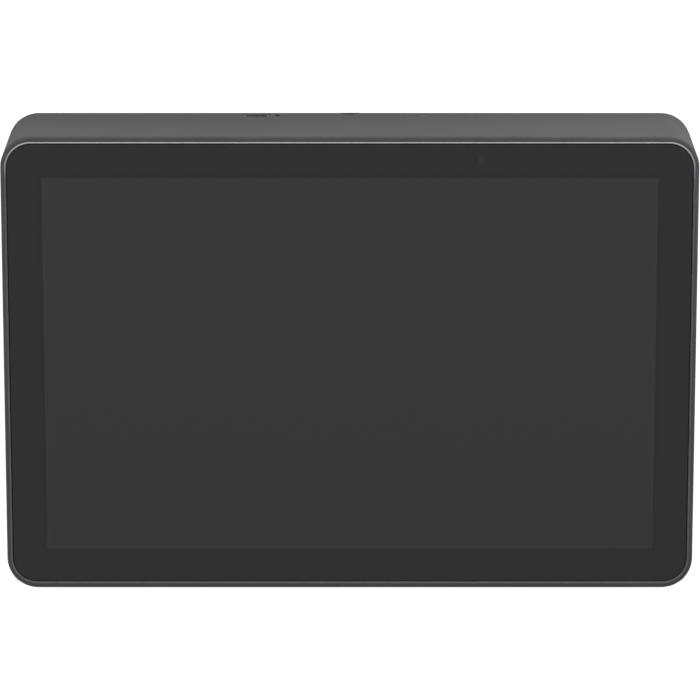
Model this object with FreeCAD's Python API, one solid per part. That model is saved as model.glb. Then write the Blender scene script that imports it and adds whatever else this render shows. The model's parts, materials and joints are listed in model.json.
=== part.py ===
import FreeCAD, Part

import math
import os

# A wedge-shaped tabletop smart display. A 10.1 inch touch screen leans back 14 degrees on a hollow moulded
# housing. The housing closes underneath with a steel base plate on four rubber feet, and a cable bay with a
# removable door opens through the plate. Row frame: +Z up, the user sits at -Y, and the origin is on the
# table under the middle of the object's box. Millimetres throughout.
#
# Most pieces are drawn in the face frame and then tilted into place: u runs to the right, v up the screen
# and w out of it. Its origin is the middle of the rim, level with the rim's crest.

Vector = FreeCAD.Vector

# --- Driving dimensions -----------------------------------------------------------------------------------
tilt = 14.0                      # lean of the screen from the table
body_width = 245.9               # across the rim
body_depth = 165.2               # along the tilted face
body_corner = 11.0               # corner radius of the rim, seen square to the face
foot_height = 2.0                # gap between the table and the base
base_round = 7.9                 # rounding between the walls and the underside
face_height = 34.0               # height of the middle of the face
wall = 2.4
rim_side = 2.05                  # from the outside of the wall to the glass opening, left and right
rim_end = 2.45                   # the same at the front and the rear
rim_round = 1.3                  # outer edge of the rim
rim_chamfer = 0.5                # bright cut along the rim's inner edge

glass_gap = 0.15
glass_thickness = 1.1
glass_recess = 0.25              # the glass lies this far under the rim's crest
tape_thickness = 0.25
seat_width = 3.0                 # ledge that the glass is taped to
seat_thickness = 1.5

screen_width, screen_height = 216.96, 135.6      # active area of a 10.1 inch 16:10 panel
screen_offset = 0.0                              # the active area is centred on the face
module_width, module_depth = 227.0, 143.0        # outline of the panel module
sensor_u, sensor_v = 46.2, 74.4                  # ambient light sensor in the upper border
sensor_window = 1.4                              # radius of its clear window

plate_width, plate_depth, plate_corner = 206.0, 132.0, 9.0
plate_thickness = 2.0
plate_ledge = 3.5                # overlap of the plate on the housing
ledge_thickness = 1.6
mount_spacing = 100.0            # four M4 threads in a 100 mm square
mount_centre_y = 5.0
mount_radius = 2.0
nut_height = 3.6                 # of the clinch nuts, over the base plate

door_width, door_depth, door_corner = 66.0, 50.0, 4.0
door_centre_y = 33.0
door_gap = 0.3
stud_x = 26.0                    # quarter-turn studs that hold the door

bay_width, bay_front, bay_rear, bay_ceiling = 36.0, 15.0, 56.0, 17.4
tray_wall = 1.5
channel_radius = 3.4             # half the width of the cable channel
channel_top = 13.4
clamp_y = 50.0
clamp_screw_x = 12.0
cable_radius = 3.0               # network cable held by the clamp
cable_height = 10.0

usb_u, usb_w = -33.6, -39.7
reset_u, reset_w = -26.0, -39.5
lamp_u, lamp_w = 26.4, -39.5      # status light
lens_radius = 1.5

# --- Worked out from the driving dimensions ---------------------------------------------------------------
sin_tilt = math.sin(math.radians(tilt))
cos_tilt = math.cos(math.radians(tilt))
half_depth = body_depth / 2
front_reach = (half_depth - rim_round) * cos_tilt - rim_round * sin_tilt + rim_round
rear_reach = (
    (half_depth - base_round) / cos_tilt
    + (face_height - foot_height - base_round) * sin_tilt / cos_tilt
    + base_round
)
face_y = (front_reach - rear_reach) / 2          # puts the origin under the middle of the box
FACE = FreeCAD.Placement(Vector(0, face_y, face_height), FreeCAD.Rotation(Vector(1, 0, 0), tilt))

opening_width = body_width - 2 * rim_side
opening_depth = body_depth - 2 * rim_end
opening_corner = body_corner - (rim_side + rim_end) / 2
glass_width = opening_width - 2 * glass_gap
glass_depth = opening_depth - 2 * glass_gap
glass_corner = opening_corner - glass_gap
glass_back = -glass_recess - glass_thickness
seat_top = glass_back - tape_thickness
seat_back = seat_top - seat_thickness
plate_top = foot_height + plate_thickness
floor_top = plate_top + ledge_thickness
rear_inside = half_depth - wall                  # inner face of the rear wall, along v

touch_back = glass_back - 0.5
cell_back = touch_back - 1.3
sheets_back = cell_back - 0.7
guide_back = sheets_back - 2.2
reflector_back = guide_back - 0.2
tray_back = reflector_back - 0.6
tray_skin = 0.6
chassis_top = tray_back - 2.2
chassis_thickness = 1.2
chassis_back = chassis_top - chassis_thickness
board_top = chassis_back - 3.4
board_thickness = 1.6
board_back = board_top - board_thickness
poe_board_low = 16.0
tray_flange_top = plate_top + 1.4
CUT = 200.0                                      # far enough to cut right through


# --- Shapes -----------------------------------------------------------------------------------------------
def rounded_plate(width, depth, radius, low, high, x=0.0, y=0.0):
    """A plate with a rounded rectangular outline, lying flat from z = low to z = high."""
    right, back = width / 2 - radius, depth / 2 - radius
    slant = radius * math.sqrt(0.5)
    edges = []
    ends = []
    for i, (cx, cy) in enumerate(((right, back), (-right, back), (-right, -back), (right, -back))):
        turn = i * math.pi / 2
        spread = (turn, turn + math.pi / 4, turn + math.pi / 2)
        a, b, c = (Vector(cx + radius * math.cos(t), cy + radius * math.sin(t), 0) for t in spread)
        edges.append(Part.Arc(a, b, c).toShape())
        ends.append((a, c))
    for i in range(4):
        start, finish = ends[i][1], ends[(i + 1) % 4][0]
        if (finish - start).Length > 1e-6:
            edges.append(Part.LineSegment(start, finish).toShape())
    outline = Part.Wire(Part.__sortEdges__(edges))
    plate = Part.Face(outline).extrude(Vector(0, 0, high - low))
    plate.translate(Vector(x, y, low))
    return plate


def box(x, y, z):
    """A block between pairs of limits."""
    corner = Vector(x[0], y[0], z[0])
    return Part.makeBox(x[1] - x[0], y[1] - y[0], z[1] - z[0], corner)


def post(radius, x, y, low, high):
    """An upright round post."""
    return Part.makeCylinder(radius, high - low, Vector(x, y, low))


def tilted(shape):
    """Moves a shape from the face frame into the row frame."""
    shape.Placement = FACE.multiply(shape.Placement)
    return shape


def through_rear(width, height, radius, low, high, u, w):
    """A rounded prism that runs along v from low to high, in the row frame."""
    prism = rounded_plate(width, height, radius, low, high)
    turn = FreeCAD.Placement(Vector(u, 0, w), FreeCAD.Rotation(Vector(1, 0, 0), -90))
    prism.Placement = turn.multiply(prism.Placement)
    return tilted(prism)


def rear_post(radius, low, high, u, w):
    """A round post that runs along v from low to high, in the row frame."""
    return tilted(Part.makeCylinder(radius, high - low, Vector(u, low, w), Vector(0, 1, 0)))


def ribbon(points, thickness, width, u=0.0):
    """A flat flexible cable: a strip of constant thickness along (v, w) points, centred on u."""
    sides = ([], [])
    for i, (v, w) in enumerate(points):
        before, after = points[max(i - 1, 0)], points[min(i + 1, len(points) - 1)]
        arrive = Vector(v - before[0], w - before[1], 0)
        leave = Vector(after[0] - v, after[1] - w, 0)
        arrive = leave if arrive.Length < 1e-9 else arrive
        leave = arrive if leave.Length < 1e-9 else leave
        arrive.normalize()
        leave.normalize()
        mid = arrive + leave
        mid.normalize()
        reach = thickness / 2 / max(mid.dot(arrive), 0.3)
        for side, sign in zip(sides, (1, -1)):
            side.append(Vector(u - width / 2, v - sign * mid.y * reach, w + sign * mid.x * reach))
    outline = sides[0] + sides[1][::-1]
    face = Part.Face(Part.makePolygon(outline + outline[:1]))
    return face.extrude(Vector(width, 0, 0))


def pan_screw(radius, length, head_radius, head_height, x, y, z):
    """A screw whose head's underside is at z, with its shank upwards."""
    head = post(head_radius, x, y, z - head_height, z)
    head = head.makeFillet(head_height * 0.45, [round_edge(head, z - head_height)])
    slot_half, slot_depth = head_radius * 0.12, head_height * 0.5
    reach = head_radius * 0.62
    depth = (z - 2 * head_height, z - head_height + slot_depth)
    recess = box((x - reach, x + reach), (y - slot_half, y + slot_half), depth)
    recess = recess.fuse(recess.copy().rotated(Vector(x, y, 0), Vector(0, 0, 1), 90))
    return head.fuse(post(radius, x, y, z, z + length)).cut(recess)


def round_edge(shape, z):
    """The edge loop of a round shape at height z."""
    return level_edges(shape, z)[0]


def level_edges(shape, z):
    """The edges that lie at height z."""
    return [e for e in shape.Edges if abs(e.BoundBox.ZMin - z) < 1e-4 and abs(e.BoundBox.ZMax - z) < 1e-4]


def fused(shapes):
    """One solid from shapes that meet."""
    first, *rest = shapes
    return first.multiFuse(rest).removeSplitter()


def mirrored_pair(shape):
    """A shape and its mirror image across the middle."""
    return [shape, shape.mirror(Vector(), Vector(1, 0, 0))]


# --- Housing and base -------------------------------------------------------------------------------------
def cavity():
    """The hollow inside the housing, under the glass seat."""
    hollow = tilted(
        rounded_plate(
            body_width - 2 * wall, body_depth - 2 * wall, body_corner - wall, -CUT, seat_back
        )
    )
    hollow = hollow.common(box((-CUT, CUT), (-CUT, CUT), (floor_top, CUT)))
    return hollow.makeFillet(base_round - wall, level_edges(hollow, floor_top))


def channel(radius, top, low, front, rear):
    """An arch-topped tunnel along Y for the cable."""
    arch = Part.makeCylinder(radius, rear - front, Vector(0, front, top - radius), Vector(0, 1, 0))
    return arch.fuse(box((-radius, radius), (front, rear), (low, top - radius)))


def plate_screw_spots():
    """Places of the six base plate screws: four under the feet and two at the sides."""
    return [(x, y) for x in (-80.0, 80.0) for y in (-55.0, 55.0)] + [(-97.0, 0.0), (97.0, 0.0)]


def chassis_screw_spots():
    """Places of the six chassis screws, in the face frame."""
    return [(u, v) for u in (-117.6, 117.6) for v in (-56.0, 0.0, 56.0)]


def port_post_spots():
    """Places of the two posts under the port board, in the face frame."""
    return [(-42.0, 70.0), (-18.0, 70.0)]


def glass_opening():
    """Everything in front of the glass seat, with the chamfer along the rim's inner edge."""
    wide, deep, corner = opening_width, opening_depth, opening_corner
    recess = rounded_plate(wide, deep, corner, seat_top, 1.0)
    flare = rounded_plate(
        wide + 2 * rim_chamfer, deep + 2 * rim_chamfer, corner + rim_chamfer, -rim_chamfer, 1.0
    )
    flare = flare.makeChamfer(rim_chamfer, level_edges(flare, -rim_chamfer))
    window = rounded_plate(
        wide - 2 * seat_width, deep - 2 * seat_width, corner - seat_width, seat_back - 1.0, 1.0
    )
    return tilted(recess), tilted(flare), tilted(window)


def housing():
    """The moulded wedge: walls square to the face, a rounded underside and the openings in its rear."""
    block = tilted(rounded_plate(body_width, body_depth, body_corner, -CUT, 0))
    block = block.common(box((-CUT, CUT), (-CUT, CUT), (foot_height, CUT)))
    block = block.makeFillet(base_round, level_edges(block, foot_height))
    block = block.makeFillet(rim_round, face_frame_edges(block, 2, 0))

    shell = block.cut([cavity(), *glass_opening()])
    rebate = rounded_plate(
        plate_width + 2 * door_gap, plate_depth + 2 * door_gap, plate_corner + door_gap, 0, plate_top
    )
    inner = 2 * plate_ledge
    opening = rounded_plate(
        plate_width - inner, plate_depth - inner, plate_corner - plate_ledge, 0, floor_top + 1
    )
    shell = shell.cut([rebate, opening])
    return rear_openings(shell.fuse(housing_bosses()).removeSplitter())


def housing_bosses():
    """Screw bosses inside the housing, each with its pilot hole."""
    boss_top, boss_radius, pilot = 9.6, 3.6, 1.25
    bosses = []
    for x, y in plate_screw_spots():
        side = math.copysign(1, x)
        if y:
            back = math.copysign(plate_depth / 2 - 1, y)
            web = box((x - 4.5, x + 4.5), sorted((y, back)), (plate_top, floor_top))
        else:
            edge = side * (plate_width / 2 - 1)
            web = box(sorted((x, edge)), (y - 4.5, y + 4.5), (plate_top, floor_top))
        boss = post(boss_radius, x, y, plate_top, boss_top).fuse(web)
        bosses.append(boss.cut(post(pilot, x, y, 0, boss_top - 1.2)))
    inner_wall = body_width / 2 - wall / 2
    for u, v in chassis_screw_spots():
        side = math.copysign(1, u)
        across = sorted((side * 115.0, side * inner_wall))
        block = box(across, (v - 4.5, v + 4.5), (chassis_top, seat_back + 0.5))
        hole = post(0.95, u, v, chassis_top - 1, chassis_top + 4.2)
        bosses.append(tilted(block.cut(hole)))
    for u, v in port_post_spots():
        foot = post(2.4, u, v, usb_w - 1.65 - 1.2 - 12.0, usb_w - 1.65 - 1.2)
        keep = box((-CUT, CUT), (-CUT, CUT), (foot_height + 1.0, CUT))
        pilot_hole = tilted(post(0.8, u, v, usb_w - 1.65 - 1.2 - 2.4, 0))
        bosses.append(tilted(foot).common(keep).cut(pilot_hole))
    return bosses


def rear_openings(shell):
    """Cuts the openings in the rear wall: socket, reset pin, status light and cable exit."""
    inside, outside = rear_inside - 4.0, half_depth + 2.0
    usb = through_rear(9.2, 3.52, 1.75, inside, outside, usb_u, usb_w)
    flare = through_rear(9.8, 4.12, 2.05, half_depth - 0.3, outside, usb_u, usb_w)
    flare = flare.makeChamfer(0.29, face_frame_edges(flare, 1, half_depth - 0.3))
    pin = rear_post(1.1, inside, outside, reset_u, reset_w)
    lens = rear_post(lens_radius + 0.02, inside, outside, lamp_u, lamp_w)
    exit_cut = channel(channel_radius, channel_top, 0, plate_depth / 2 - 6, rear_reach + 10)
    exit_cut = exit_cut.fuse(exit_flare())
    return shell.cut([usb, flare, pin, lens, exit_cut])


def exit_flare():
    """A wider mouth round the outside of the cable exit."""
    y = rear_reach + face_y - 0.7
    return channel(channel_radius + 0.35, channel_top + 0.35, 0, y, rear_reach + 10)


def face_frame_edges(shape, axis, level):
    """The edges of a placed shape whose ends all lie at one level of a face frame axis."""
    back = FACE.inverse()

    def at_level(edge):
        return all(abs(back.multVec(p.Point)[axis] - level) < 1e-4 for p in edge.Vertexes)

    return [e for e in shape.Edges if at_level(e)]


def mount_spots():
    """Places of the four mounting threads."""
    half = mount_spacing / 2
    return [(x, mount_centre_y + y) for x in (-half, half) for y in (-half, half)]


def base_plate():
    """The steel plate under the housing, with the cable bay's opening and two rows of vent slots."""
    plate = rounded_plate(plate_width, plate_depth, plate_corner, foot_height, plate_top)
    plate = plate.makeChamfer(0.4, level_edges(plate, foot_height))
    cuts = [
        rounded_plate(
            door_width + 2 * door_gap, door_depth + 2 * door_gap, door_corner + door_gap,
            0, plate_top + 1, 0, door_centre_y,
        ),
        box((-channel_radius, channel_radius), (door_centre_y, plate_depth), (0, plate_top + 1)),
    ]
    cuts += [post(mount_radius + 1.0, x, y, 0, plate_top + 1) for x, y in mount_spots()]
    for x, y in plate_screw_spots():
        cuts.append(post(1.7, x, y, 0, plate_top + 1))
        cuts.append(Part.makeCone(3.3, 1.7, 1.6, Vector(x, y, foot_height)))
    cuts += [post(0.75, x, y, plate_top - 1.5, plate_top + 1) for x, y in tray_screw_spots()]
    for side in (-1, 1):
        for i in range(9):
            x = side * (62.0 + 4.4 * (i - 4))
            cuts.append(rounded_plate(2.2, 16.0, 1.09, 0, plate_top + 1, x, -22.0))
    return plate.cut(cuts)


def mount_nuts():
    """Four clinch nuts pressed into the base plate, threaded for the mounting screws."""
    nuts = []
    for x, y in mount_spots():
        shank = post(mount_radius + 1.0, x, y, foot_height, plate_top)
        collar = Part.makePolygon([
            Vector(x + 4.2 * math.cos(k * math.pi / 3), y + 4.2 * math.sin(k * math.pi / 3), plate_top)
            for k in range(7)
        ])
        body = Part.Face(collar).extrude(Vector(0, 0, nut_height)).fuse(shank)
        nuts.append(body.cut(post(mount_radius, x, y, 0, plate_top + 5)).removeSplitter())
    return Part.makeCompound(nuts)


def base_screws():
    """Six countersunk screws that hold the base plate to the housing."""
    screws = []
    for x, y in plate_screw_spots():
        head = Part.makeCone(3.1, 1.5, 1.5, Vector(x, y, foot_height + 0.05))
        shank = post(1.25, x, y, foot_height + 1.0, foot_height + 6.0)
        arms = ((1.6, 0.3), (0.3, 1.6))
        recess = [box((x - a, x + a), (y - b, y + b), (0, foot_height + 0.9)) for a, b in arms]
        screws.append(head.fuse(shank).cut(recess))
    return Part.makeCompound(screws)


def foot(x, y):
    """A rubber strip stuck under the base plate, rounded where it meets the table."""
    pad = rounded_plate(40.0, 10.0, 4.9, 0, foot_height, x, y)
    return pad.makeFillet(0.7, level_edges(pad, 0))


# --- Cable bay --------------------------------------------------------------------------------------------
def tray_screw_spots():
    """Places of the four screws that hold the bay's flange to the base plate."""
    return [(x, y) for x in (-38.0, 38.0) for y in (10.0, 56.0)]


def tray_screws():
    """Four short screws, driven down through the flange."""
    screws = []
    for x, y in tray_screw_spots():
        screw = pan_screw(0.7, 2.6, 1.7, 1.0, x, y, 0)
        screw.rotate(Vector(x, y, 0), Vector(1, 0, 0), 180)
        screw.translate(Vector(0, 0, tray_flange_top))
        screws.append(screw)
    return Part.makeCompound(screws)


def cable_bay_tray():
    """The moulded bay over the door: a flange on the base plate, the bay box and the way in for the cable."""
    inside = bay_width / 2
    outside = inside + tray_wall
    flange = rounded_plate(84.0, 58.0, 5.0, plate_top, tray_flange_top, 0, 33.0)
    length = (bay_front - tray_wall, bay_rear + tray_wall)
    hull = box((-outside, outside), length, (plate_top, bay_ceiling + tray_wall))
    bosses = [post(3.6, x, door_centre_y, plate_top, 10.5) for x in (-stud_x, stud_x)]
    solid = fused([flange, hull, *bosses])
    room = box((-inside, inside), (bay_front, bay_rear), (0, bay_ceiling))
    solid = solid.cut([room, channel(channel_radius, channel_top, 0, bay_rear - 2, rear_reach + 10)])
    solid = solid.cut(box((-8.1, 8.1), (0, bay_front + 1), (0, poe_board_low + 0.1)))
    for x in (-stud_x, stud_x):
        solid = solid.cut([
            post(1.6, x, door_centre_y, 0, 9.5),
            post(2.4, x, door_centre_y, 0, plate_top + 0.7),
        ])
    solid = solid.cut([post(0.9, x, y, plate_top, 7) for x, y in tray_screw_spots()])
    pilots = [post(1.1, x, clamp_y, 0, cable_height + 5.0) for x in (-clamp_screw_x, clamp_screw_x)]
    across = (-clamp_screw_x, clamp_screw_x)
    hangers = [post(3.0, x, clamp_y, cable_height, bay_ceiling + 0.5) for x in across]
    anvil = box(across, (clamp_y - 3.0, clamp_y + 3.0), (cable_height + 1.2, bay_ceiling + 0.5))
    solid = solid.multiFuse([*hangers, anvil])
    return solid.cut([cable_bore(cable_radius, cable_height), *pilots]).removeSplitter()


def cable_bore(radius, height):
    """A round bar along the clamped stretch of the cable."""
    return Part.makeCylinder(radius, 20, Vector(0, clamp_y - 10, height), Vector(0, 1, 0))


def cable_guide():
    """The arched tunnel that leads the cable from the bay to the rear wall."""
    front, rear = bay_rear + tray_wall, rear_reach + 10
    outer = channel(channel_radius + tray_wall, channel_top + tray_wall, 0, front, rear)
    inner = channel(channel_radius, channel_top, 0, front - 1, rear + 1)
    return outer.cut(inner).common(cavity()).removeSplitter()


def cable_clamp():
    """The saddle that grips the cable inside the bay."""
    top = cable_height
    bar = rounded_plate(31.0, 7.0, 3.2, top - 3.6, top, 0, clamp_y)
    holes = [post(1.25, x, clamp_y, 0, top + 1) for x in (-clamp_screw_x, clamp_screw_x)]
    bar = bar.cut([cable_bore(cable_radius, top), *holes])
    teeth = []
    for i in (-1, 0, 1):
        start = Vector(0, clamp_y + 2 * i - 0.35, top)
        tooth = Part.makeCylinder(cable_radius + 0.3, 0.7, start, Vector(0, 1, 0))
        teeth.append(tooth.cut(cable_bore(cable_radius - 0.35, top)))
    ribs = teeth[0].multiFuse(teeth[1:]).common(box((-4, 4), (0, 99), (0, top)))
    return bar.fuse(ribs).removeSplitter()


def clamp_screws():
    """Two screws that pull the saddle up against the bay's hangers."""
    underside = cable_height - 3.6
    spots = (-clamp_screw_x, clamp_screw_x)
    return Part.makeCompound([pan_screw(1.0, 7.0, 2.2, 1.4, x, clamp_y, underside) for x in spots])


def cable_door():
    """The flat door over the cable bay, with counterbores for its two captive studs and a finger notch."""
    door = rounded_plate(door_width, door_depth, door_corner, foot_height, plate_top - 0.06, 0, door_centre_y)
    door = door.makeChamfer(0.35, level_edges(door, foot_height))
    cuts = []
    for x in (-stud_x, stud_x):
        cuts.append(post(4.0, x, door_centre_y, 0, foot_height + 1.2))
        cuts.append(post(1.57, x, door_centre_y, 0, plate_top + 1))
    thumb_y = door_centre_y - door_depth / 2 + 7.0
    notch = rounded_plate(18.0, 7.0, 3.4, foot_height - 1, foot_height + 0.9, 0, thumb_y)
    notch = notch.makeFillet(0.8, level_edges(notch, foot_height + 0.9))
    ribs = [
        box((-inner, inner), (y - 0.6, y + 0.6), (plate_top - 0.1, plate_top + 0.8))
        for inner, y in ((15.0, 22.0), (15.0, 30.0), (15.0, 38.0))
    ]
    return door.cut(cuts + [notch]).multiFuse(ribs).removeSplitter()


def door_stud(x):
    """A captive quarter-turn stud: slotted head, the collar that keeps it in the door, and a slit shank."""
    y = door_centre_y
    head_low, head_top, tip = foot_height + 0.15, foot_height + 1.15, 9.0
    head = post(3.7, x, y, head_low, head_top)
    head = head.makeChamfer(0.3, [round_edge(head, head_low)])
    collar = post(2.05, x, y, plate_top + 0.02, plate_top + 0.55)
    shank = post(1.5, x, y, head_top - 0.1, tip)
    shank = shank.makeChamfer(0.4, [round_edge(shank, tip)])
    slot = box((x - 4, x + 4), (y - 0.5, y + 0.5), (0, head_low + 0.6))
    slit = box((x - 0.4, x + 0.4), (y - 4, y + 4), (tip - 2.6, tip + 1))
    return head.fuse([collar, shank]).cut([slot, slit])


# --- Display ----------------------------------------------------------------------------------------------
def cover_glass():
    """The front glass, flush inside the rim, with a polished edge."""
    glass = rounded_plate(glass_width, glass_depth, glass_corner, glass_back, -glass_recess)
    return tilted(glass.makeChamfer(0.2, level_edges(glass, -glass_recess)))


def glass_adhesive():
    """The frame of tape between the glass and its seat."""
    tape = rounded_plate(glass_width - 0.4, glass_depth - 0.4, glass_corner - 0.2, seat_top, glass_back)
    inner = 2 * (seat_width - 0.5)
    hole = rounded_plate(glass_width - inner, glass_depth - inner, glass_corner - inner / 2, seat_top - 1, 0)
    return tilted(tape.cut(hole))


def layer(width, depth, low, high, corner=1.0):
    """One flat layer of the panel, in line with the active area."""
    return tilted(rounded_plate(width, depth, corner, low, high, 0, screen_offset))


def touch_sensor():
    """The touch sensing layer bonded behind the glass."""
    return layer(module_width - 2, module_depth - 2, touch_back, glass_back)


def lcd_cell():
    """The liquid crystal cell with its driver ledge along the upper edge."""
    cell = rounded_plate(
        module_width - 4, module_depth - 6, 0.6, cell_back, touch_back, 0, screen_offset - 1.0
    )
    driver = rounded_plate(
        module_width - 8, 4.0, 0.4, cell_back, cell_back + 0.7, 0, screen_offset + module_depth / 2 - 3.4
    )
    return tilted(cell.fuse(driver).removeSplitter())


def diffuser_sheets():
    """The stack of diffuser and prism films."""
    return layer(module_width - 5, module_depth - 5, sheets_back, cell_back - 0.05)


def light_guide():
    """The clear plate that spreads the backlight."""
    low, high = guide_back + 0.02, sheets_back - 0.02
    return tilted(rounded_plate(module_width - 6, module_depth - 9.0, 0.6, low, high, 0, screen_offset + 2.0))


def reflector_sheet():
    """The white sheet behind the light guide."""
    return layer(module_width - 5, module_depth - 5, reflector_back + 0.02, guide_back - 0.02)


def led_strip():
    """The row of lamps along the light guide's lower edge."""
    v = screen_offset - module_depth / 2 + 2.6
    strip = [box((-108.0, 108.0), (v - 0.9, v - 0.1), (guide_back + 0.1, sheets_back - 0.1))]
    for u in range(-104, 105, 13):
        strip.append(box((u - 2.0, u + 2.0), (v - 0.1, v + 1.3), (guide_back + 0.3, sheets_back - 0.3)))
    return tilted(fused(strip))


def backlight_tray():
    """The folded metal tray that holds the backlight together."""
    outer = rounded_plate(module_width, module_depth, 1.6, tray_back, cell_back, 0, screen_offset)
    inner = rounded_plate(
        module_width - 2 * tray_skin, module_depth - 2 * tray_skin, 1.0, reflector_back, 0, 0, screen_offset
    )
    beads = [
        rounded_plate(150.0, 2.4, 1.19, tray_back - 1, tray_back + 0.25, 0, v)
        for v in (-48.0, -24.0, 24.0, 48.0)
    ]
    edge = screen_offset + module_depth / 2
    notch = box((-15.6, 15.6), (edge - 1.0, edge + 1.0), (cell_back - 0.7, cell_back + 1.0))
    return tilted(outer.cut([inner, notch, *beads]))


def chassis_plate():
    """The steel plate behind the panel: it carries the boards and stiffens the housing."""
    plate = rounded_plate(body_width - 2 * wall - 0.8, 143.0, 6.0, chassis_back, chassis_top, 0, 4.5)
    low, high = chassis_back - 1, chassis_top + 1
    holes = [post(1.35, u, v, low, high) for u, v in chassis_screw_spots()]
    for width, u in ((36.0, 0), (14.0, -60.0), (12.0, 60.0), (10.0, 39.0)):
        holes.append(rounded_plate(width, 8.0, 1.5, low, high, u, 73.4))
    for u in (-88.0, 88.0):
        holes += [rounded_plate(22.0, 18.0, 4.0, low, high, u, v) for v in (-44.0, -16.0, 12.0)]
    ribs = [rounded_plate(120.0, 3.0, 1.49, chassis_top, chassis_top + 0.8, 0, v) for v in (-52.0, -30.0)]
    return tilted(plate.cut(holes).multiFuse(ribs).removeSplitter())


def foam_pads():
    """Foam strips that press the panel forward against the glass."""
    pads = []
    for u in (-70.0, 70.0):
        for v in (-62.0, 64.0):
            pads.append(tilted(rounded_plate(60.0, 6.0, 1.0, chassis_top, tray_back, u, v)))
    return Part.makeCompound(pads)


def chassis_screws():
    """Six screws that hold the chassis plate to the housing."""
    return Part.makeCompound([
        tilted(pan_screw(0.9, 4.6, 2.1, 1.3, u, v, chassis_back)) for u, v in chassis_screw_spots()
    ])


def lcd_flex():
    """The panel's data cable, folded round the tray's upper edge, and the backlight's beside it."""
    edge = screen_offset + module_depth / 2
    low = board_top + 0.4
    data = [(edge - 2.2, cell_back - 0.2), (edge + 1.2, cell_back - 0.2), (edge + 1.2, low), (68.0, low)]
    lamp = reflector_back + 0.4
    light = [(edge + 0.15, lamp), (edge + 1.4, lamp), (edge + 1.4, low), (68.0, low)]
    return Part.makeCompound([tilted(ribbon(data, 0.25, 30.0)), tilted(ribbon(light, 0.2, 8.0, 60.0))])


def touch_flex():
    """The touch sensor's cable."""
    edge = screen_offset + module_depth / 2
    high, low = glass_back - 0.2, board_top + 0.4
    path = [(edge - 0.9, high), (edge + 2.6, high), (edge + 2.6, low), (68.0, low)]
    return tilted(ribbon(path, 0.2, 10.0, -60.0))


# --- Light sensor -----------------------------------------------------------------------------------------
def sensor_board():
    """The small board glued under the glass seat behind the upper border."""
    depth = (sensor_v - 2.2, rear_inside - 0.4)
    return tilted(box((sensor_u - 10, sensor_u + 10), depth, (seat_back - 0.8, seat_back)))


def light_sensor():
    """The ambient light sensor chip."""
    across, along = (sensor_u - 1.0, sensor_u + 1.0), (sensor_v - 0.8, sensor_v + 0.8)
    return tilted(box(across, along, (seat_back, seat_back + 0.7)))


def sensor_boot():
    """The rubber sleeve that keeps stray light out of the sensor."""
    sleeve = post(2.15, sensor_u, sensor_v, seat_back, glass_back)
    return tilted(sleeve.cut(post(sensor_window, sensor_u, sensor_v, seat_back - 1, 0)))


def sensor_flex():
    """The sensor board's cable to the main board."""
    v = sensor_v + 1.2
    path = [(v, seat_back - 0.85), (v, board_top + 0.4), (68.0, board_top + 0.4)]
    return tilted(ribbon(path, 0.2, 6.0, 39.0))


# --- Main board -------------------------------------------------------------------------------------------
def main_board_spots():
    """Places of the main board's four screws, in the face frame."""
    return [(u, v) for u in (-70.0, 70.0) for v in (21.0, 66.0)]


def main_board():
    """The main circuit board under the chassis plate."""
    board = rounded_plate(150.0, 56.0, 3.0, board_back, board_top, 0, 44.0)
    return tilted(board.cut([post(1.4, u, v, board_back - 1, 0) for u, v in main_board_spots()]))


def board_standoffs():
    """Four threaded standoffs pressed into the chassis plate."""
    posts = []
    for u, v in main_board_spots():
        sleeve = post(2.6, u, v, board_top, chassis_back)
        posts.append(tilted(sleeve.cut(post(1.1, u, v, board_top - 1, chassis_back - 0.4))))
    return Part.makeCompound(posts)


def board_screws():
    """Four screws that hold the main board to its standoffs."""
    return Part.makeCompound([
        tilted(pan_screw(1.0, 4.2, 2.3, 1.3, u, v, board_back)) for u, v in main_board_spots()
    ])


def processor():
    """The processor package, facing the chassis plate."""
    package = box((-8.0, 8.0), (36.0, 52.0), (board_top, board_top + 0.5))
    lid = box((-6.4, 6.4), (37.6, 50.4), (board_top + 0.5, board_top + 1.4))
    return tilted(package.fuse(lid))


def thermal_pad():
    """The soft pad between the processor and the heat spreader."""
    return tilted(box((-7.0, 7.0), (37.0, 51.0), (board_top + 1.4, board_top + 2.2)))


def heat_spreader():
    """The aluminium spreader that carries the heat into the chassis plate."""
    return tilted(rounded_plate(60.0, 40.0, 3.0, board_top + 2.2, chassis_back, 0, 44.0))


def memory_chips():
    """Four memory packages beside the processor."""
    chips = []
    for u in (-24.0, 24.0):
        for v in (38.0, 50.0):
            chips.append(tilted(box((u - 5, u + 5), (v - 4, v + 4), (board_top, board_top + 1.0))))
    return Part.makeCompound(chips)


def shield_can():
    """The pressed shield over the power circuits on the board's underside."""
    can = rounded_plate(46.0, 30.0, 1.6, board_back - 2.6, board_back, -44.0, 44.0)
    hollow = rounded_plate(45.2, 29.2, 1.2, board_back - 2.3, board_back + 1, -44.0, 44.0)
    vents = [
        post(0.8, -60.0 + 8 * i, 36.0 + 8 * j, board_back - 3, board_back - 1)
        for i in range(5)
        for j in range(3)
    ]
    return tilted(can.cut([hollow, *vents]))


def board_connectors():
    """Flat-cable sockets along the upper edge of the main board and on its underside."""
    sockets = [(0.0, 34.0), (-60.0, 14.0), (60.0, 12.0), (39.0, 9.0)]
    blocks = [box((u - w / 2, u + w / 2), (63.6, 67.9), (board_top, board_top + 1.2)) for u, w in sockets]
    blocks += [box((u - 9, u + 9), (20.0, 24.0), (board_back - 2.0, board_back)) for u in (-26.0, 26.0)]
    return Part.makeCompound([tilted(b) for b in blocks])


# --- Network and power board ------------------------------------------------------------------------------
def poe_board_spots():
    """Places of the power board's four standoffs."""
    return [(x, y) for x in (-47.0, 47.0) for y in (-21.0, 7.0)]


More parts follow.
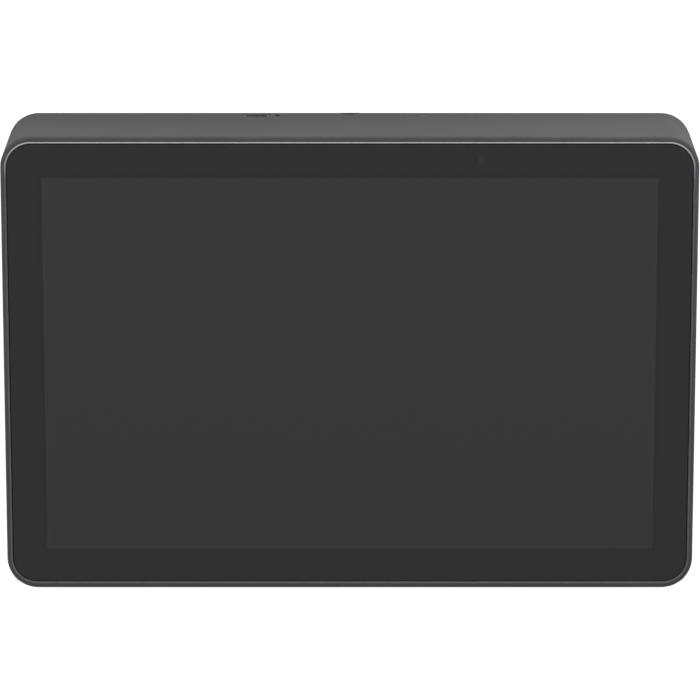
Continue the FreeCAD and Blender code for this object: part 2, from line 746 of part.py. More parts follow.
def poe_board():
    """The network and power board, hung over the base plate with its parts underneath."""
    board = rounded_plate(104.0, 37.0, 2.5, poe_board_low, poe_board_low + 1.6, 0, -6.5)
    return board.cut([post(1.4, x, y, 0, 99) for x, y in poe_board_spots()])


def poe_standoffs():
    """Four standoffs between the base plate and the power board."""
    posts = []
    for x, y in poe_board_spots():
        sleeve = post(2.8, x, y, plate_top, poe_board_low)
        posts.append(sleeve.cut(post(1.1, x, y, poe_board_low - 5, poe_board_low + 1)))
    return Part.makeCompound(posts)


def poe_screws():
    """Four screws in the top of the power board."""
    screws = []
    for x, y in poe_board_spots():
        screw = pan_screw(1.0, 5.4, 2.2, 1.1, x, y, 0)
        screw.rotate(Vector(x, y, 0), Vector(1, 0, 0), 180)
        screw.translate(Vector(0, 0, poe_board_low + 1.6))
        screws.append(screw)
    return Part.makeCompound(screws)


def ethernet_jack():
    """The network socket, facing back into the cable bay, with its latch keyway underneath."""
    low = 4.6
    body = box((-8.0, 8.0), (-4.0, bay_front), (low, poe_board_low))
    mouth = box((-5.9, 5.9), (3.0, bay_front + 1), (low + 2.9, poe_board_low - 1.3))
    key = box((-3.1, 3.1), (3.0, bay_front + 1), (low + 1.2, low + 3.0))
    return body.cut([mouth, key])


def jack_contacts():
    """The eight sprung contacts in the roof of the network socket."""
    wires = []
    for i in range(8):
        x = 1.02 * (i - 3.5)
        wires.append(box((x - 0.2, x + 0.2), (3.0, 12.5), (poe_board_low - 1.85, poe_board_low - 1.3)))
    return Part.makeCompound(wires)


def poe_transformer():
    """The isolating transformer: a ferrite core with its winding."""
    x, y = -29.0, -6.0
    core = box((x - 8, x + 8), (y - 7, y + 7), (poe_board_low - 9.0, poe_board_low))
    sides = ((y - 7.1, y - 3.4), (y + 3.4, y + 7.1))
    gaps = [box((x - 8.1, x + 8.1), side, (poe_board_low - 7.2, poe_board_low - 1.8)) for side in sides]
    winding = rounded_plate(15.0, 12.4, 2.0, poe_board_low - 7.0, poe_board_low - 2.0, x, y)
    return core.cut(gaps).fuse(winding).removeSplitter()


def poe_capacitors():
    """Three smoothing capacitors."""
    cans = []
    for x, y in ((22.0, -14.0), (33.0, -14.0), (27.5, 0.0)):
        can = post(4.0, x, y, poe_board_low - 9.5, poe_board_low)
        cans.append(can.makeFillet(0.6, [round_edge(can, poe_board_low - 9.5)]))
    return Part.makeCompound(cans)


def link_flex():
    """The flat cable between the power board and the main board."""
    x = 28.0
    point = FACE.multVec(Vector(0, 22.0, board_back - 1.0))
    low = poe_board_low + 1.75
    path = [(11.8, low), (13.4, low), (point.y - 3.4, point.z - 0.6), (point.y - 2.0, point.z - 0.3)]
    return ribbon(path, 0.25, 14.0, x)


# --- Rear ports -------------------------------------------------------------------------------------------
def port_board():
    """The small board behind the rear wall that carries the socket and the reset switch."""
    top = usb_w - 1.65
    board = rounded_plate(30.0, 15.0, 1.0, top - 1.2, top, -30.0, 70.0)
    return tilted(board.cut([post(1.0, u, v, top - 2, top + 1) for u, v in port_post_spots()]))


def port_screws():
    """Two screws that hold the port board to the housing's posts."""
    screws = []
    for u, v in port_post_spots():
        screw = pan_screw(0.75, 3.4, 1.7, 1.0, u, v, 0)
        screw.rotate(Vector(u, v, 0), Vector(1, 0, 0), 180)
        screw.translate(Vector(0, 0, usb_w - 1.65))
        screws.append(tilted(screw))
    return Part.makeCompound(screws)


def usb_c_port():
    """The USB socket: a drawn metal shell with the contact tongue inside."""
    low, high = half_depth - 9.0, half_depth - 0.2
    shell = through_rear(8.94, 3.26, 1.62, low, high, usb_u, usb_w)
    bore = through_rear(8.34, 2.56, 1.27, low + 1.6, high + 1, usb_u, usb_w)
    tongue = through_rear(6.7, 0.7, 0.3, low + 1.0, high - 0.9, usb_u, usb_w)
    return shell.cut(bore).fuse(tongue)


def reset_switch():
    """The side-pushed switch behind the reset pin."""
    base = usb_w - 1.65
    body = tilted(box((reset_u - 2.2, reset_u + 2.2), (73.4, 77.2), (base, base + 3.0)))
    return body.fuse(rear_post(0.8, 77.2, 78.2, reset_u, reset_w))


def reset_button():
    """The pin behind the small hole in the rear wall."""
    flange = rear_post(1.6, rear_inside - 1.1, rear_inside - 0.3, reset_u, reset_w)
    stem = rear_post(1.03, rear_inside - 0.4, half_depth - 0.6, reset_u, reset_w)
    return flange.fuse(stem).removeSplitter()


def port_flex():
    """The flat cable between the port board and the main board."""
    base = usb_w - 1.65
    low, high = base + 0.15, board_back - 2.2
    path = [(63.6, low), (61.0, low), (58.0, base + 4.0), (26.0, high), (23.0, high)]
    return tilted(ribbon(path, 0.25, 10.0, -36.0))


def status_lens():
    """The clear light pipe of the status light: flush outside, with a collar behind the wall."""
    stem = rear_post(lens_radius, rear_inside - 0.1, half_depth - 0.1, lamp_u, lamp_w)
    collar = rear_post(lens_radius + 0.7, rear_inside - 1.3, rear_inside - 0.02, lamp_u, lamp_w)
    return stem.fuse(collar).removeSplitter()


def status_lamp():
    """The status lamp on its own small board, which stands on the housing's floor behind the wall."""
    v = rear_inside - 1.8
    lamp = tilted(box((lamp_u - 0.8, lamp_u + 0.8), (v - 0.7, v), (lamp_w - 0.8, lamp_w + 0.8)))
    board = tilted(box((lamp_u - 5.0, lamp_u + 5.0), (v - 1.7, v - 0.7), (lamp_w - 12.0, lamp_w + 3.5)))
    return board.common(cavity()).fuse(lamp).removeSplitter()


# --- Export -----------------------------------------------------------------------------------------------
SIMPLE_PARTS = (
    housing, base_plate, mount_nuts, base_screws, cable_bay_tray, cable_guide, tray_screws, cable_clamp,
    clamp_screws, cable_door,
    cover_glass, glass_adhesive, touch_sensor, lcd_cell, diffuser_sheets, light_guide, reflector_sheet,
    led_strip, backlight_tray, chassis_plate, foam_pads, chassis_screws, lcd_flex, touch_flex,
    sensor_board, light_sensor, sensor_boot, sensor_flex, main_board, board_standoffs,
    board_screws, processor, thermal_pad, heat_spreader, memory_chips, shield_can, board_connectors,
    poe_board, poe_standoffs, poe_screws, ethernet_jack, jack_contacts, poe_transformer,
    poe_capacitors, link_flex, port_board, port_screws, usb_c_port, reset_switch, reset_button, port_flex,
    status_lens, status_lamp,
)
FEET = {
    "front_left": (-78.0, -55.0),
    "front_right": (78.0, -55.0),
    "rear_left": (-78.0, 55.0),
    "rear_right": (78.0, 55.0),
}
STUDS = {"left": -stud_x, "right": stud_x}


def all_parts():
    """Every sub-part, by its name."""
    parts = {make.__name__: make() for make in SIMPLE_PARTS}
    parts.update({f"foot_{place}": foot(x, y) for place, (x, y) in FEET.items()})
    parts.update({f"door_stud_{side}": door_stud(x) for side, x in STUDS.items()})
    return parts


os.makedirs("parts", exist_ok=True)
for name, shape in all_parts().items():
    flaws = "" if shape.isValid() and shape.Volume > 0 else "  NOT VALID"
    print(f"{name:18} {len(shape.Solids)} solid(s) {shape.Volume / 1000:8.2f} cm3{flaws}")
    shape.exportStep(f"parts/{name}.step")
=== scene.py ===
"""Looks for the tabletop smart display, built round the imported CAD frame."""

import json
import math

import bmesh
import bpy
from mathutils import Matrix, Vector


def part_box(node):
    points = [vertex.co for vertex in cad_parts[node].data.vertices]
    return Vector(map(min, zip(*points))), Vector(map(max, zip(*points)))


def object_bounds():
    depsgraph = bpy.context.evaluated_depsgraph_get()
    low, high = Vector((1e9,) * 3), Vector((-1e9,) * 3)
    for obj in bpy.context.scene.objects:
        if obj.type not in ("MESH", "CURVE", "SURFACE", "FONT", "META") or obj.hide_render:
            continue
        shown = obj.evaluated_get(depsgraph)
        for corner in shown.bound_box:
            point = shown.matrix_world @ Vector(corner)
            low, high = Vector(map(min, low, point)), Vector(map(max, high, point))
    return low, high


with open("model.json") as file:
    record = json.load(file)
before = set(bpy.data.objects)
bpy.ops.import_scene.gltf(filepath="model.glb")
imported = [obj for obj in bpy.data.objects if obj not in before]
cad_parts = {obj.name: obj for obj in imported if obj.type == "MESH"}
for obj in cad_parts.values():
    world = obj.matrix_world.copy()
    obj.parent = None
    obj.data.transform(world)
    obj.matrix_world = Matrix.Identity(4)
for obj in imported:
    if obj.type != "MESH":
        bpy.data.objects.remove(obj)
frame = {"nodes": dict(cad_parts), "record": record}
CAD_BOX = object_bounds()
NODES = frame["nodes"]

MM = 0.001
TILT = math.radians(14.0)                # lean of the face, about X
GLASS_RECESS = 0.25 * MM                 # from the rim's crest down to the glass
GLASS_THICKNESS = 1.1 * MM
CORNER = 11.0 * MM                       # corner radius of the rim, square to the face
RIM_SIDE = 2.05 * MM                     # from the outside to the glass opening, at the sides
RIM_END = 2.45 * MM                      # the same at the front and rear
CHAMFER = 0.5 * MM                       # bright cut along the rim's inner edge
SCREEN = (216.96 * MM, 135.6 * MM)       # lit area, centred on the face
FACE_EXCESS = 80.7 * MM                  # how much wider than deep the face is
HALF_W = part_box("housing")[1].x
HALF_D = HALF_W - FACE_EXCESS / 2


def face_origin():
    """The middle of the face, level with the rim's crest, from the glass node's own box."""
    low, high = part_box("cover_glass")
    normal = Vector((0, -math.sin(TILT), math.cos(TILT)))
    return (low + high) / 2 + normal * (GLASS_RECESS + GLASS_THICKNESS / 2)


ORIGIN = face_origin()


def on_face(node):
    """A node's middle in the face frame: to the right, up the screen and out of it."""
    low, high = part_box(node)
    return Matrix.Rotation(-TILT, 3, "X") @ ((low + high) / 2 - ORIGIN)


# --- Node helpers ----------------------------------------------------------------------------------------
class Tree:
    """A material's node tree, with short calls for the nodes used here."""

    def __init__(self, name):
        self.material = bpy.data.materials.new(name)
        self.material.use_nodes = True
        self.nodes = self.material.node_tree.nodes
        self.links = self.material.node_tree.links
        self.nodes.clear()
        out = self.nodes.new("ShaderNodeOutputMaterial")
        self.bsdf = self.nodes.new("ShaderNodeBsdfPrincipled")
        self.links.new(self.bsdf.outputs["BSDF"], out.inputs["Surface"])

    def put(self, socket, value):
        """Links a socket to an input, or sets the input to a fixed value."""
        if isinstance(value, bpy.types.NodeSocket):
            self.links.new(value, socket)
        elif isinstance(value, (tuple, list)) and len(value) == 3 and socket.type == "RGBA":
            socket.default_value = (*value, 1.0)
        else:
            socket.default_value = value

    def fill(self, node, **values):
        """Sets a node's inputs: base_color= is the input named Base Color."""
        for key, value in values.items():
            self.put(node.inputs[key.replace("_", " ").title().replace("Ior", "IOR")], value)

    def set(self, **values):
        """Sets inputs of the Principled shader."""
        self.fill(self.bsdf, **values)

    # Coordinates
    def coords(self):
        """Object coordinates, in metres, the same at every pose."""
        return self.nodes.new("ShaderNodeTexCoord").outputs["Object"]

    def face_coords(self):
        """Position in the tilted face frame: x to the right, y up the screen, z out of it, in metres."""
        node = self.nodes.new("ShaderNodeMapping")
        node.vector_type = "TEXTURE"
        self.fill(node, vector=self.coords(), location=ORIGIN, rotation=(TILT, 0, 0))
        return node.outputs["Vector"]

    def split(self, vector):
        node = self.nodes.new("ShaderNodeSeparateXYZ")
        self.put(node.inputs[0], vector)
        return node.outputs

    def join(self, x, y, z):
        node = self.nodes.new("ShaderNodeCombineXYZ")
        for socket, value in zip(node.inputs, (x, y, z)):
            self.put(socket, value)
        return node.outputs[0]

    def stretched(self, vector, factors):
        """A vector with each part multiplied by its own factor."""
        node = self.nodes.new("ShaderNodeVectorMath")
        node.operation = "MULTIPLY"
        self.put(node.inputs[0], vector)
        self.put(node.inputs[1], factors)
        return node.outputs["Vector"]

    def length(self, vector):
        node = self.nodes.new("ShaderNodeVectorMath")
        node.operation = "LENGTH"
        self.put(node.inputs[0], vector)
        return node.outputs["Value"]

    # Numbers
    def math(self, op, a, b=0.0):
        node = self.nodes.new("ShaderNodeMath")
        node.operation = op
        self.put(node.inputs[0], a)
        self.put(node.inputs[1], b)
        return node.outputs[0]

    def plus(self, a, b):
        return self.math("ADD", a, b)

    def minus(self, a, b):
        return self.math("SUBTRACT", a, b)

    def times(self, a, b):
        return self.math("MULTIPLY", a, b)

    def larger(self, a, b):
        return self.math("MAXIMUM", a, b)

    def away(self, value, centre=0.0):
        """How far a number is from another."""
        return self.math("ABSOLUTE", self.minus(value, centre))

    def ramp(self, value, low, high, to_low=0.0, to_high=1.0):
        """A clamped linear map."""
        node = self.nodes.new("ShaderNodeMapRange")
        node.clamp = True
        self.fill(node, value=value, from_min=low, from_max=high, to_min=to_low, to_max=to_high)
        return node.outputs["Result"]

    def outline(self, half_w, half_d, radius, centre=(0.0, 0.0)):
        """Signed distance, in metres, from a rounded rectangle drawn on the face. Negative inside."""
        x, y, _ = self.split(self.face_coords())
        past_x = self.minus(self.away(x, centre[0]), half_w - radius)
        past_y = self.minus(self.away(y, centre[1]), half_d - radius)
        outside = self.length(self.join(self.larger(past_x, 0.0), self.larger(past_y, 0.0), 0.0))
        inside = self.math("MINIMUM", self.larger(past_x, past_y), 0.0)
        return self.minus(self.plus(outside, inside), radius)

    # Textures and colours
    def noise(self, scale, detail=4.0, rough=0.5, vector=None, distortion=0.0):
        node = self.nodes.new("ShaderNodeTexNoise")
        where = vector or self.coords()
        self.fill(node, vector=where, scale=scale, detail=detail, roughness=rough, distortion=distortion)
        return node.outputs["Fac"]

    def voronoi(self, scale, vector=None):
        node = self.nodes.new("ShaderNodeTexVoronoi")
        self.fill(node, vector=vector or self.coords(), scale=scale)
        return node.outputs["Distance"]

    def bump(self, height, strength, distance):
        node = self.nodes.new("ShaderNodeBump")
        self.fill(node, height=height, strength=strength, distance=distance)
        return node.outputs["Normal"]

    def mix(self, factor, a, b):
        """Colour a where the factor is 0 and colour b where it is 1."""
        node = self.nodes.new("ShaderNodeMix")
        node.data_type = "RGBA"
        self.put(node.inputs[0], factor)
        self.put(node.inputs[6], a)
        self.put(node.inputs[7], b)
        return node.outputs[2]

    def tint(self, base, shade):
        """A base colour times a shade that varies over the surface."""
        node = self.nodes.new("ShaderNodeVectorMath")
        node.operation = "SCALE"
        node.inputs[0].default_value = base
        self.put(node.inputs["Scale"], shade)
        return node.outputs["Vector"]


# --- Materials -------------------------------------------------------------------------------------------
def grey(level):
    """A grey with a trace of blue."""
    return (level, level, level * 1.015)


def grained(t, base, rough, grain=1.0, shade=1.0):
    """Spark-eroded plastic: fine pits, a mottled roughness and a faint cloudiness in the colour."""
    fine = t.noise(4200.0, 4.0, 0.65)
    pits = t.voronoi(3300.0)
    cloud = t.noise(45.0, 3.0, 0.55)
    cloudy = t.times(t.ramp(cloud, 0.3, 0.7, 0.95, 1.05), shade)
    colour = t.tint(base, t.times(cloudy, t.ramp(fine, 0.3, 0.7, 0.93, 1.07)))
    uneven = t.plus(fine, t.times(cloud, 0.5))
    roughness = t.ramp(uneven, 0.5, 1.0, rough - 0.06, rough + 0.07)
    height = t.plus(t.times(pits, 0.7), fine)
    t.set(
        base_color=colour, roughness=roughness, normal=t.bump(height, 0.3 * grain, 0.05 * MM),
        ior=1.46, specular_ior_level=0.05,
    )
    return colour, roughness


def moulded(name, level, rough, grain=1.0):
    t = Tree(name)
    grained(t, grey(level), rough, grain)
    return t.material


def housing_material():
    """Graphite plastic: matt walls with painted shade that darkens them towards the bottom, a crest rubbed
    smoother by hands and a bright cut round the glass, with a painted highlight along its rear.
    """
    painted_shade_rise = 42.0 * MM             # painted shade: the walls are painted lighter over this height, darker towards the bottom
    burnished = CHAMFER + 0.14 * MM      # width of the bright cut
    blend = 0.04 * MM
    glint_fade_from = 16.0 * MM             # the painted highlight on the cut fades out between these distances from the rear
    glint_fade_to = 1.0 * MM
    t = Tree("housing_plastic")
    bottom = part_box("housing")[0].z
    # Painted shade: the walls' colour is darkened towards the bottom.
    painted_wall_shade = t.ramp(t.split(t.coords())[2], bottom, bottom + painted_shade_rise, 0.80, 1.06)
    colour, roughness = grained(t, grey(0.090), 0.80, shade=painted_wall_shade)
    _, y, z = t.split(t.face_coords())
    edge = t.outline(HALF_W, HALF_D, CORNER)
    opening = t.outline(HALF_W - RIM_SIDE, HALF_D - RIM_END, CORNER - (RIM_SIDE + RIM_END) / 2)
    beside = t.ramp(opening, burnished - blend, burnished + blend, 1.0, 0.0)
    cut = t.times(beside, t.ramp(z, -0.92 * CHAMFER, -0.76 * CHAMFER))
    crest = t.times(t.ramp(z, -2.2 * MM, -0.3 * MM), t.ramp(edge, -1.4 * MM, -0.6 * MM))
    worn = t.times(crest, t.ramp(t.noise(70.0, 5.0, 0.6), 0.42, 0.62))
    rubbed = t.mix(t.times(worn, 0.35), colour, grey(0.13))
    smoother = t.minus(roughness, t.times(crest, 0.12))
    # Painted highlight: the cut is painted bright along the rear, where light catches it, and plain grey
    # elsewhere.
    glint_faded = t.ramp(y, HALF_D - glint_fade_from, HALF_D - glint_fade_to, 1.0, 0.0)
    streaks = t.noise(1.0, 3.0, 0.6, vector=t.stretched(t.face_coords(), (260.0, 260.0, 9000.0)))
    painted_glint_cut = t.mix(t.ramp(streaks, 0.35, 0.65), grey(0.62), grey(0.80))
    plain_cut = t.mix(t.ramp(streaks, 0.35, 0.65), grey(0.13), grey(0.20))
    cut_and_painted_glint = t.mix(glint_faded, painted_glint_cut, plain_cut)
    t.set(base_color=t.mix(cut, rubbed, cut_and_painted_glint), roughness=t.minus(smoother, t.times(cut, 0.36)))
    return t.material


def glass_material():
    """The front glass: black print round the border, the switched-off panel behind and traces of handling."""
    eye_radius = 1.4 * MM                # window of the light sensor
    pixels_per_metre = 7372.0
    t = Tree("cover_glass")
    active = t.outline(SCREEN[0] / 2, SCREEN[1] / 2, 0.3 * MM)
    border = t.ramp(active, -0.15 * MM, 0.15 * MM)
    fringe = t.times(t.ramp(active, -1.5 * MM, -0.3 * MM), t.minus(1.0, border))
    y = t.split(t.face_coords())[1]
    # Painted light: the switched-off panel is painted lighter towards the rear of the screen.
    level = t.ramp(y, -SCREEN[1] / 2, SCREEN[1] / 2, 0.0160, 0.0200)
    level = t.plus(level, t.times(fringe, 0.0024))
    pixels = t.stretched(t.face_coords(), (pixels_per_metre, pixels_per_metre, 0.0))
    level = t.times(level, t.ramp(t.voronoi(1.0, vector=pixels), 0.2, 0.8, 0.94, 1.06))
    panel = t.tint((1.0, 1.0, 1.02), level)
    sensor = on_face("sensor_boot")
    eye = t.outline(eye_radius, eye_radius, eye_radius, (sensor.x, sensor.y))
    window = t.ramp(eye, -0.35 * MM, 0.25 * MM, 1.0, 0.0)
    ink = t.mix(t.ramp(active, 0.4 * MM, 2.4 * MM), grey(0.0014), grey(0.0045))
    colour = t.mix(border, panel, t.mix(window, ink, grey(0.0180)))
    smear = t.noise(16.0, 5.0, 0.65, distortion=0.8)
    ridges = t.nodes.new("ShaderNodeTexWave")
    t.fill(ridges, vector=t.face_coords(), scale=420.0, distortion=9.0, detail=3.0)
    fingers = t.ramp(ridges.outputs["Fac"], 0.2, 0.9, 0.4, 1.0)
    touched = t.times(t.ramp(smear, 0.56, 0.74), fingers)
    waver = t.noise(9.0, 2.0, 0.5)
    t.set(
        base_color=colour, roughness=t.ramp(touched, 0.0, 1.0, 0.045, 0.16), ior=1.50,
        normal=t.bump(waver, 0.02, 0.4 * MM),
    )
    return t.material


def metal(name, base, rough, lines=(40.0, 40.0, 3000.0)):
    """Rolled or turned metal with fine drawn lines and a little staining."""
    t = Tree(name)
    drawn = t.noise(1.0, 4.0, 0.6, vector=t.stretched(t.coords(), lines))
    stain = t.noise(160.0, 4.0, 0.6)
    shade = t.times(t.ramp(drawn, 0.3, 0.7, 0.88, 1.06), t.ramp(stain, 0.35, 0.7, 1.0, 0.9))
    t.set(
        base_color=t.tint(base, shade), metallic=1.0,
        roughness=t.ramp(drawn, 0.3, 0.7, rough - 0.06, rough + 0.10), normal=t.bump(drawn, 0.15, 0.03 * MM),
    )
    return t.material


def powder_coat(name, level):
    """Fine orange-peel powder coat with an uneven sheen."""
    t = Tree(name)
    peel = t.noise(1500.0, 3.0, 0.5)
    sheen = t.noise(240.0, 6.0, 0.7)
    t.set(
        base_color=t.tint(grey(level), t.ramp(peel, 0.3, 0.7, 0.88, 1.12)),
        roughness=t.ramp(sheen, 0.3, 0.7, 0.38, 0.55), normal=t.bump(peel, 0.5, 0.10 * MM),
    )
    return t.material


def rubber(name, level):
    """Matt rubber with a bloom and fine pores."""
    t = Tree(name)
    pores = t.voronoi(1900.0)
    bloom = t.noise(110.0, 4.0, 0.6)
    t.set(
        base_color=t.tint(grey(level), t.ramp(bloom, 0.3, 0.75, 0.85, 1.5)),
        roughness=t.ramp(bloom, 0.3, 0.7, 0.72, 0.88), normal=t.bump(pores, 0.4, 0.12 * MM),
        specular_ior_level=0.3,
    )
    return t.material


def board(name):
    """Solder mask over copper tracks and pads."""
    t = Tree(name)
    tracks = t.nodes.new("ShaderNodeTexBrick")
    t.fill(tracks, vector=t.face_coords(), scale=260.0, mortar_size=0.045)
    pads = t.ramp(t.voronoi(420.0), 0.16, 0.20, 1.0, 0.0)
    mask = t.mix(tracks.outputs["Fac"], (0.008, 0.060, 0.026), (0.016, 0.110, 0.045))
    t.set(
        base_color=t.mix(pads, mask, (0.50, 0.44, 0.26)), metallic=pads,
        roughness=t.ramp(t.noise(700.0), 0.3, 0.7, 0.28, 0.42),
        normal=t.bump(tracks.outputs["Fac"], 0.3, 0.04 * MM),
    )
    return t.material


def film(name, base, rough):
    """Flat film, foil or flexible circuit with fine lines along it."""
    t = Tree(name)
    lines = t.noise(1.0, 2.0, 0.5, vector=t.stretched(t.coords(), (2600.0, 60.0, 60.0)))
    t.set(
        base_color=t.tint(base, t.ramp(lines, 0.35, 0.65, 0.75, 1.1)),
        roughness=t.ramp(lines, 0.3, 0.7, rough - 0.05, rough + 0.1), normal=t.bump(lines, 0.2, 0.03 * MM),
    )
    return t.material


def usb_material():
    """The socket: a satin metal shell, a black tongue and its row of gilt contacts."""
    contacts_per_metre = 2000.0
    t = Tree("socket_steel")
    middle = on_face("usb_c_port")
    x, _, z = t.split(t.face_coords())
    dx = t.away(x, middle.x)
    dz = t.away(z, middle.z)
    tongue = t.times(t.ramp(dx, 3.42 * MM, 3.48 * MM, 1.0, 0.0), t.ramp(dz, 0.38 * MM, 0.44 * MM, 1.0, 0.0))
    comb = t.math("FRACT", t.times(x, contacts_per_metre))
    contact = t.times(t.ramp(comb, 0.45, 0.55), t.ramp(dx, 3.0 * MM, 3.05 * MM, 1.0, 0.0))
    contact = t.times(t.times(contact, tongue), t.ramp(dz, 0.30 * MM, 0.33 * MM))
    drawn = t.noise(1.0, 3.0, 0.6, vector=t.stretched(t.coords(), (3000.0, 90.0, 3000.0)))
    shell = t.tint((0.32, 0.32, 0.33), t.ramp(drawn, 0.3, 0.7, 0.8, 1.1))
    t.set(
        base_color=t.mix(contact, t.mix(tongue, shell, grey(0.012)), (0.72, 0.52, 0.20)),
        metallic=t.larger(t.minus(1.0, tongue), contact), roughness=t.ramp(drawn, 0.3, 0.7, 0.26, 0.42),
    )
    return t.material


def smoked_lens():
    """The dark, hazy end of the status light's light pipe."""
    t = Tree("smoked_lens")
    haze = t.noise(600.0, 3.0, 0.5)
    t.set(
        base_color=t.tint(grey(0.05), t.ramp(haze, 0.3, 0.7, 0.9, 1.1)),
        roughness=t.ramp(haze, 0.3, 0.7, 0.40, 0.52), specular_ior_level=0.1,
    )
    return t.material


def acrylic():
    """Clear light guide with its printed dots."""
    t = Tree("acrylic")
    dots = t.ramp(t.voronoi(900.0), 0.18, 0.24, 1.0, 0.0)
    t.set(
        base_color=t.mix(dots, (0.80, 0.86, 0.88), (0.95, 0.95, 0.95)),
        roughness=t.ramp(dots, 0.0, 1.0, 0.08, 0.5), transmission_weight=0.6,
    )
    return t.material


BY_SLOT = {
    "housing_plastic": housing_material(),
    "cover_glass": glass_material(),
    "black_steel": powder_coat("black_steel", 0.022),
    "fastener_steel": metal("fastener_steel", (0.55, 0.55, 0.54), 0.32),
    "black_fastener": metal("black_fastener", (0.045, 0.045, 0.047), 0.42, (900.0, 900.0, 900.0)),
    "bay_plastic": moulded("bay_plastic", 0.020, 0.55),
    "button_plastic": moulded("button_plastic", 0.012, 0.5),
    "chip_black": moulded("chip_black", 0.016, 0.6, 0.6),
    "ferrite": moulded("ferrite", 0.026, 0.7, 1.5),
    "socket_ivory": moulded("socket_ivory", 0.55, 0.45, 0.5),
    "lcd_glass": moulded("lcd_glass", 0.010, 0.12, 0.1),
    "tape": rubber("tape", 0.010),
    "foam": rubber("foam", 0.018),
    "thermal_grey": rubber("thermal_grey", 0.14),
    "foot_rubber": rubber("foot_rubber", 0.014),
    "touch_film": film("touch_film", (0.35, 0.37, 0.37), 0.15),
    "film_white": film("film_white", (0.80, 0.80, 0.79), 0.45),
    "lamp_board": film("lamp_board", (0.75, 0.74, 0.66), 0.45),
    "flex": film("flex", (0.42, 0.20, 0.035), 0.32),
    "acrylic": acrylic(),
    "smoked_lens": smoked_lens(),
    "tray_metal": metal("tray_metal", (0.66, 0.66, 0.67), 0.30, (30.0, 2600.0, 30.0)),
    "chassis_steel": metal("chassis_steel", (0.48, 0.49, 0.50), 0.38, (24.0, 2200.0, 24.0)),
    "spreader_metal": metal("spreader_metal", (0.72, 0.72, 0.73), 0.26, (2400.0, 30.0, 30.0)),
    "shield_tin": metal("shield_tin", (0.62, 0.62, 0.60), 0.24),
    "socket_steel": metal("jack_shell", (0.55, 0.55, 0.54), 0.28),
    "gold_contact": metal("gold_contact", (0.80, 0.58, 0.22), 0.22),
    "can_metal": metal("can_metal", (0.62, 0.62, 0.64), 0.25, (60.0, 60.0, 3200.0)),
    "board_green": board("board_green"),
}


def dress(node, material):
    """Gives a CAD node one material in all its slots."""
    mesh = NODES[node].data
    mesh.materials.clear()
    mesh.materials.append(material)


for part in frame["record"]["subparts"]:
    dress(part["node"], BY_SLOT[part["material_slot"]])
dress("usb_c_port", usb_material())


# --- Stage -----------------------------------------------------------------------------------------------
FLOOR_HALF = 4.0                         # half the floor's size, in metres
FLOOR_GLOW = 0.72                        # emission that keeps the floor white round the object
GLOW_MARGIN = 4.0 * MM                   # the glow starts inside the object's footprint
SHADOW_STRIP_HALF_WIDTH = 3.5 * MM              # painted shadow: dark strip of floor below the cable exit
SHADOW_STRIP_REACH = (-1.3 * MM, 0.5 * MM)      # where the painted shadow lies, from the rear of the CAD box
DOME = (0.24, 0.72)                      # strength of the sky at the horizon and overhead
DOME_RISE = 0.9                          # height on the unit sphere where it is full
SOFTBOXES = (                            # name, place, aim, size and power
    ("rear_left", (-0.25, 0.27, 0.10), (-0.1, 0.085, 0.04), (0.16, 0.12), 0.13),
    ("rear_right", (0.25, 0.27, 0.10), (0.1, 0.085, 0.04), (0.16, 0.12), 0.32),
    ("rear_high", (0.0, 1.3, 0.95), (0, 0.05, 0.04), (1.4, 0.6), 2.5),
)
CAMERA_PLACE = (0.07 * MM, -0.06 * MM, 1.6604)
CAMERA_LENS = 235.54
CAMERA_SENSOR = 36.0


def outside_painted_shadow(t, x, y):
    """0 on a small painted shadow on the floor and 1 elsewhere.

    The painted shadow is a dark strip of floor colour with no glow, standing in for the shade inside the
    cable exit. From above it shows through the open cable exit, and from behind it is a short dark dash. With
    1.0 in its place the floor is plain.
    """
    rear = CAD_BOX[1][1]
    sideways = t.minus(t.away(x), SHADOW_STRIP_HALF_WIDTH)
    rearward = t.minus(y, rear + SHADOW_STRIP_REACH[1])
    forward = t.minus(rear + SHADOW_STRIP_REACH[0], y)
    return t.ramp(t.larger(sideways, t.larger(rearward, forward)), -0.05 * MM, 0.15 * MM)


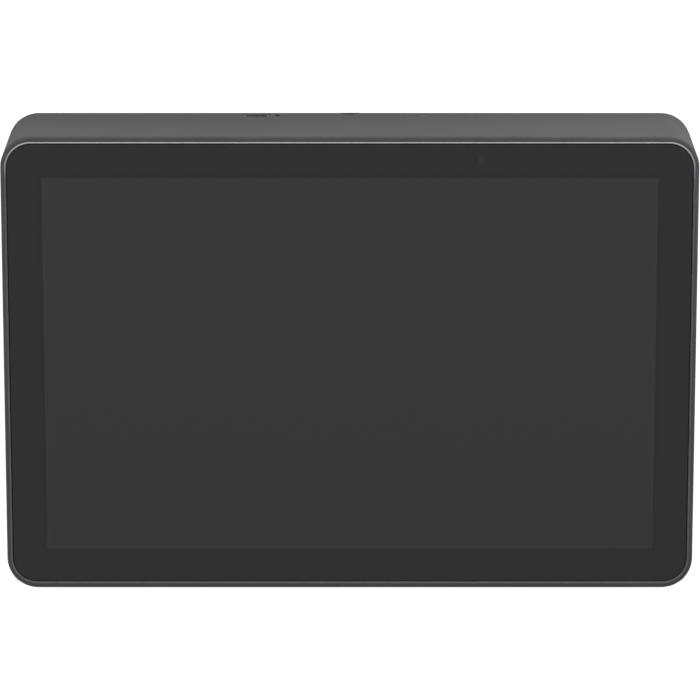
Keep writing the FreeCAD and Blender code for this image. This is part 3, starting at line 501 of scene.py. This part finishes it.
def floor():
    """A large pale floor, lit a little from inside like a light table, except under the object, with a
    painted shadow below the cable exit.
    """
    mesh = bpy.data.meshes.new("floor")
    obj = bpy.data.objects.new("floor", mesh)
    bpy.context.scene.collection.objects.link(obj)
    bm = bmesh.new()
    bmesh.ops.create_grid(bm, x_segments=1, y_segments=1, size=FLOOR_HALF)
    bm.to_mesh(mesh)
    bm.free()
    t = Tree("floor")
    x, y, _ = t.split(t.coords())
    high = CAD_BOX[1]
    # Painted shadow: the floor is dark and without glow on a small strip below the cable exit.
    beyond_painted_shadow = outside_painted_shadow(t, x, y)
    outside = t.larger(t.minus(t.away(x), high[0]), t.minus(t.away(y), high[1]))
    glow = t.ramp(outside, -GLOW_MARGIN, -0.25 * GLOW_MARGIN, 0.0, FLOOR_GLOW)
    t.set(
        base_color=t.mix(beyond_painted_shadow, grey(0.03), grey(0.8)), roughness=0.9, specular_ior_level=0.1,
        emission_color=(1.0, 1.0, 1.0), emission_strength=t.times(glow, beyond_painted_shadow),
    )
    mesh.materials.append(t.material)


def softbox(name, place, aim, size, power):
    """A rectangular lamp that the camera doesn't see."""
    light = bpy.data.lights.new(name, "AREA")
    light.shape = "RECTANGLE"
    light.size, light.size_y = size
    light.energy = power
    obj = bpy.data.objects.new(name, light)
    bpy.context.scene.collection.objects.link(obj)
    obj.visible_camera = False
    obj.location = place
    obj.rotation_euler = (Vector(aim) - Vector(place)).to_track_quat("-Z", "Y").to_euler()


def dome():
    """An even sky, brighter overhead."""
    world = bpy.data.worlds.new("studio")
    bpy.context.scene.world = world
    world.use_nodes = True
    tree = world.node_tree
    background = tree.nodes["Background"]
    background.inputs["Color"].default_value = (1, 1, 1, 1)
    place = tree.nodes.new("ShaderNodeTexCoord")
    parts = tree.nodes.new("ShaderNodeSeparateXYZ")
    ramp = tree.nodes.new("ShaderNodeMapRange")
    ramp.inputs["From Min"].default_value = 0.0
    ramp.inputs["From Max"].default_value = DOME_RISE
    ramp.inputs["To Min"].default_value = DOME[0]
    ramp.inputs["To Max"].default_value = DOME[1]
    tree.links.new(place.outputs["Generated"], parts.inputs[0])
    tree.links.new(parts.outputs["Z"], ramp.inputs["Value"])
    tree.links.new(ramp.outputs["Result"], background.inputs["Strength"])


def camera():
    """A camera that looks straight down on the object from high above it."""
    data = bpy.data.cameras.new("camera")
    data.sensor_width = CAMERA_SENSOR
    data.lens = CAMERA_LENS
    data.clip_start, data.clip_end = 0.05, 20.0
    obj = bpy.data.objects.new("camera", data)
    bpy.context.scene.collection.objects.link(obj)
    obj.location = CAMERA_PLACE
    obj.rotation_euler = (0, 0, 0)
    bpy.context.scene.camera = obj


floor()
dome()
for box in SOFTBOXES:
    softbox(*box)
camera()
bpy.context.scene.view_settings.view_transform = "Standard"
